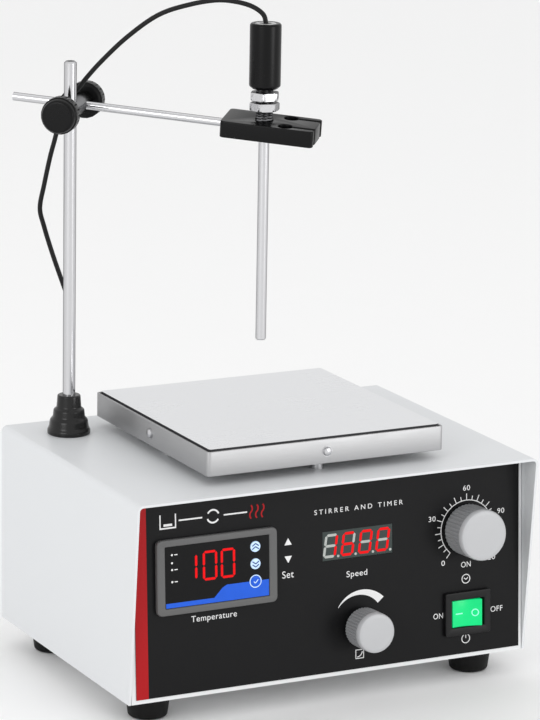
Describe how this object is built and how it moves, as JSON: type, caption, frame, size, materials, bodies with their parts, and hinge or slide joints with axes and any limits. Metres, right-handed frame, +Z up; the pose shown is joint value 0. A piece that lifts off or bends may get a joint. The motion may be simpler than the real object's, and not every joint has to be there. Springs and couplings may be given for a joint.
{
  "type": "magnetic stirrer",
  "caption": "Hot-plate magnetic stirrer: box cabinet with a sloped-front panel, square heater tray, stand rod, cross clamp, sliding arm and cabled temperature probe.",
  "frame": {"origin": "on the desk under the middle of the rigid object's bounding box, the probe's cable and plug left out", "axes": "+X to the right seen from the front panel, +Y to the rear, +Z up"},
  "size_m": [0.21, 0.2217, 0.3229],
  "materials": {
    "cover_paint": "satin powder coat",
    "chassis_paint": "satin powder coat",
    "panel_film": "printed film",
    "foot_rubber": "moulded",
    "screw_steel": "zinc plated",
    "tray_steel": "brushed",
    "plate_metal": "fine ground",
    "heater_dark": "mica",
    "insulation": "fibre board",
    "controller_grey": "fine texture",
    "window_black": "gloss",
    "board_green": "solder mask",
    "key_glow": "lit from behind",
    "key_blue": "lit from behind",
    "display_face": "epoxy face",
    "knob_grey": "satin",
    "shaft_steel": "turned",
    "part_dark": "moulded",
    "timer_case": "plated",
    "switch_black": "semi gloss",
    "rocker_green": "lit from inside",
    "socket_steel": "plated",
    "boot_black": "semi gloss",
    "rod_steel": "polished stainless",
    "stud_steel": "threaded",
    "grip_black": "semi gloss",
    "cap_grey": "satin",
    "cable_black": "sheath",
    "motor_steel": "satin",
    "bracket_zinc": "zinc plated",
    "holder_alu": "turned",
    "winding": "varnished copper"
  },
  "bodies": {
    "cabinet": {"cover": "cover_paint", "chassis": "chassis_paint", "panel_overlay": "panel_film", "feet": "foot_rubber", "foot_screws": "screw_steel", "cover_screws": "screw_steel", "heater_tray": "tray_steel", "heating_plate": "plate_metal", "tray_screws": "screw_steel", "plate_posts": "screw_steel", "heating_element": "heater_dark", "insulation_board": "insulation", "controller_case": "controller_grey", "controller_window": "window_black", "controller_board": "board_green", "speed_display": "display_face", "speed_pot": "part_dark", "timer_body": "timer_case", "switch_housing": "switch_black", "rod_socket": "socket_steel", "rod_boot": "boot_black", "cable_lower": "cable_black", "probe_plug": "socket_steel", "probe_socket": "socket_steel", "motor": "motor_steel", "motor_bracket": "bracket_zinc", "transformer": "winding", "control_board": "board_green", "mains_inlet": "part_dark", "fuse_holder": "part_dark"},
    "stand": {"stand_rod": "rod_steel"},
    "clamp": {"clamp_barrel": "rod_steel", "cable_middle": "cable_black"},
    "rod_clamp_screw": {"rod_knob": "grip_black", "rod_knob_stud": "stud_steel"},
    "arm_clamp_screw": {"arm_knob": "grip_black", "arm_knob_stud": "stud_steel"},
    "arm": {"arm_rod": "rod_steel", "probe_holder": "grip_black", "probe_stem": "rod_steel", "probe_neck": "rod_steel", "probe_nuts": "stud_steel", "probe_handle": "grip_black", "handle_cap": "cap_grey", "cable_upper": "cable_black"},
    "speed_dial": {"speed_shaft": "shaft_steel", "speed_knob": "knob_grey"},
    "timer_dial": {"timer_shaft": "shaft_steel", "timer_knob": "knob_grey"},
    "rocker": {"switch_rocker": "rocker_green"},
    "up_key": {"key_up": "key_glow"},
    "down_key": {"key_down": "key_glow"},
    "set_key": {"key_set": "key_blue"},
    "rotor": {"motor_shaft": "shaft_steel", "magnet_holder": "holder_alu", "drive_magnets": "motor_steel"}
  },
  "joints": [
    {"name": "stand_swivel", "type": "hinge", "parent": "cabinet", "child": "stand", "pos_m": [-0.0805, 0.0541, 0.11], "axis": [0, 0, 1], "range_deg": [-90, 90], "deforming": ["cable_lower"]},
    {"name": "clamp_height", "type": "slide", "parent": "stand", "child": "clamp", "axis": [0, 0, 1], "range_m": [-0.028, 0.016], "deforming": ["cable_middle"]},
    {"name": "arm_reach", "type": "slide", "parent": "clamp", "child": "arm", "axis": [0.7753, -0.6278, -0.0698], "range_m": [-0.05, 0.022], "deforming": ["cable_upper"]},
    {"name": "rod_screw_turn", "type": "hinge", "parent": "clamp", "child": "rod_clamp_screw", "pos_m": [-0.0805, 0.0541, 0.2685], "axis": [-0.6293, -0.7771, 0], "range_deg": [0, 360]},
    {"name": "arm_screw_turn", "type": "hinge", "parent": "clamp", "child": "arm_clamp_screw", "pos_m": [-0.0805, 0.0541, 0.2685], "axis": [0.6293, 0.7771, 0], "range_deg": [0, 360]},
    {"name": "speed_turn", "type": "hinge", "parent": "cabinet", "child": "speed_dial", "pos_m": [0.0153, -0.06825, 0.03576], "axis": [0, -0.9982, 0.0593], "range_deg": [-60, 220]},
    {"name": "timer_turn", "type": "hinge", "parent": "cabinet", "child": "timer_dial", "pos_m": [0.0731, -0.06586, 0.07589], "axis": [0, -0.9982, 0.0593], "range_deg": [-320, 0]},
    {"name": "power_rock", "type": "hinge", "parent": "cabinet", "child": "rocker", "pos_m": [0.0728, -0.06529, 0.03498], "axis": [0, 0.0593, 0.9982], "range_deg": [0, 16]},
    {"name": "up_press", "type": "slide", "parent": "cabinet", "child": "up_key", "axis": [0, 0.9982, -0.0593], "range_m": [0, 0.0004], "stiffness_N_per_m": 250},
    {"name": "down_press", "type": "slide", "parent": "cabinet", "child": "down_key", "axis": [0, 0.9982, -0.0593], "range_m": [0, 0.0004], "stiffness_N_per_m": 250},
    {"name": "set_press", "type": "slide", "parent": "cabinet", "child": "set_key", "axis": [0, 0.9982, -0.0593], "range_m": [0, 0.0004], "stiffness_N_per_m": 250},
    {"name": "motor_spin", "type": "hinge", "parent": "cabinet", "child": "rotor", "pos_m": [0, 0.0012, 0.11], "axis": [0, 0, 1], "continuous": true}
  ]
}
